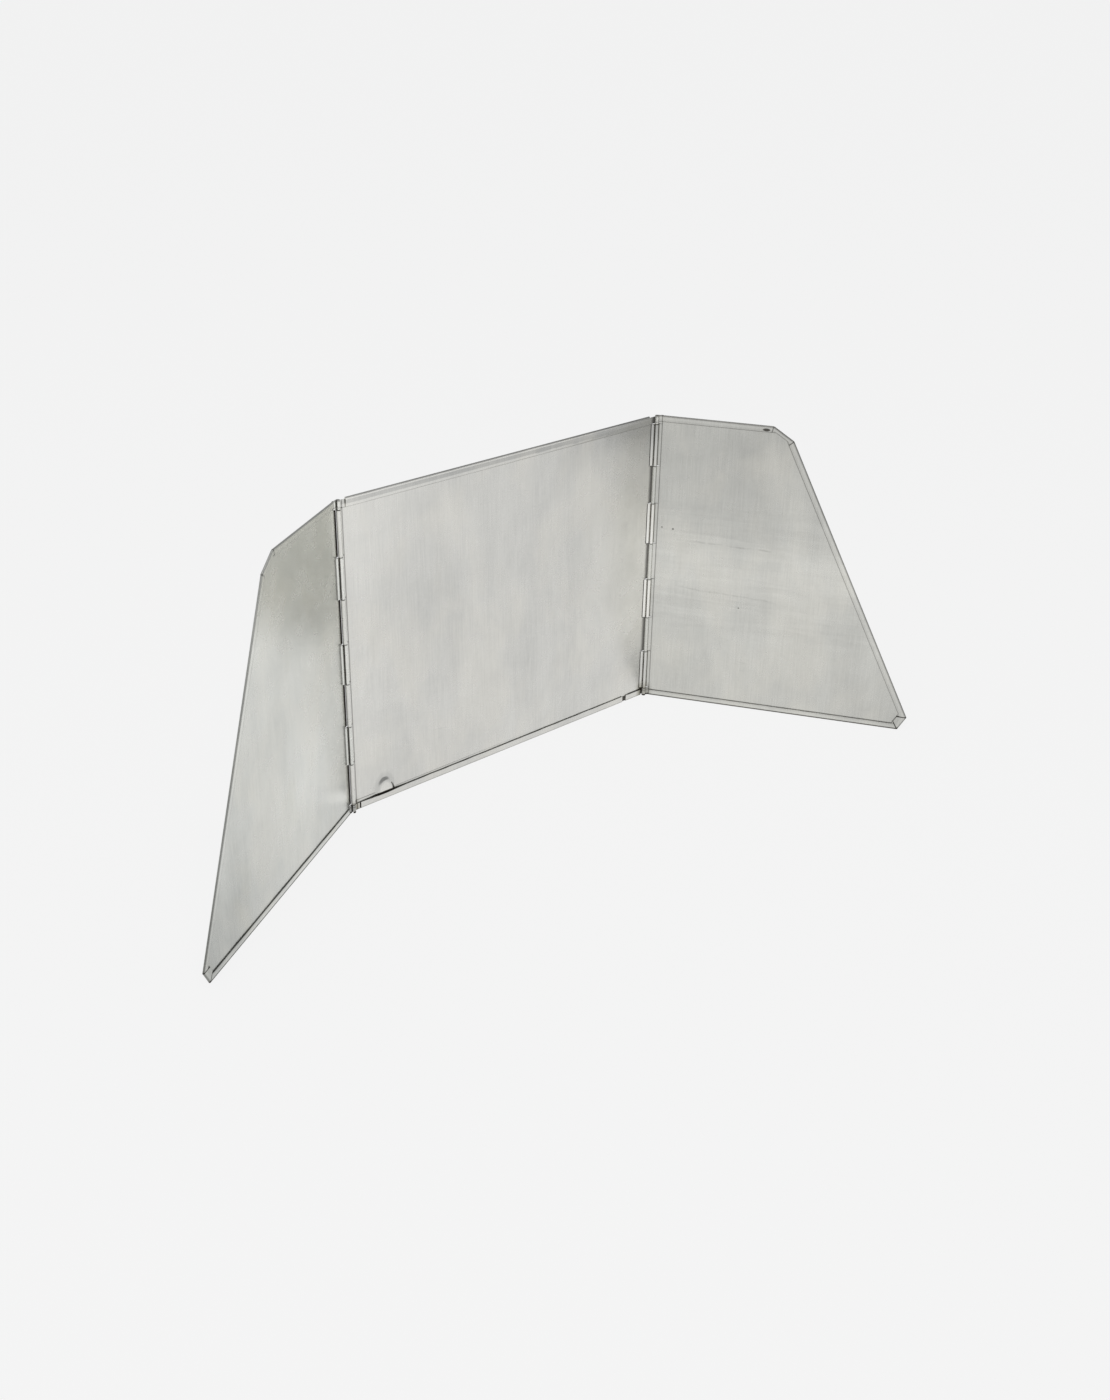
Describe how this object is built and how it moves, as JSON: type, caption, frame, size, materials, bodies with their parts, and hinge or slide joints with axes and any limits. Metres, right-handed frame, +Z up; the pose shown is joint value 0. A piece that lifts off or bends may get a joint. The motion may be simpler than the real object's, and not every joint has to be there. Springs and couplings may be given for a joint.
{
  "type": "folding stove windscreen",
  "caption": "Bare aluminium sheet shield with a wide centre panel and a sloping wing at each end on a rolled pin hinge; free edges are folded hems.",
  "frame": {"origin": "middle of the centre panel's bottom edge, where it stands, half way through the folded hem's thickness", "axes": "+Z up; +X along the centre panel from the left wing to the right wing; -Y towards the stove, the side the wings fold to"},
  "size_m": [0.6195, 0.1863, 0.25],
  "materials": {
    "aluminium_sheet": "satin, dull with age",
    "pin_wire": "drawn wire"
  },
  "bodies": {
    "centre": {"centre_panel": "aluminium_sheet", "left_hinge_pin": "pin_wire", "right_hinge_pin": "pin_wire"},
    "left_wing": {"left_wing": "aluminium_sheet"},
    "right_wing": {"right_wing": "aluminium_sheet"}
  },
  "joints": [
    {"name": "left_wing_fold", "type": "hinge", "parent": "centre", "child": "left_wing", "pos_m": [-0.1505, -0.00183, 0.125], "axis": [0, 0, 1], "range_deg": [-67, 145]},
    {"name": "right_wing_fold", "type": "hinge", "parent": "centre", "child": "right_wing", "pos_m": [0.1505, -0.00183, 0.125], "axis": [0, 0, -1], "range_deg": [-92, 123.5]}
  ]
}
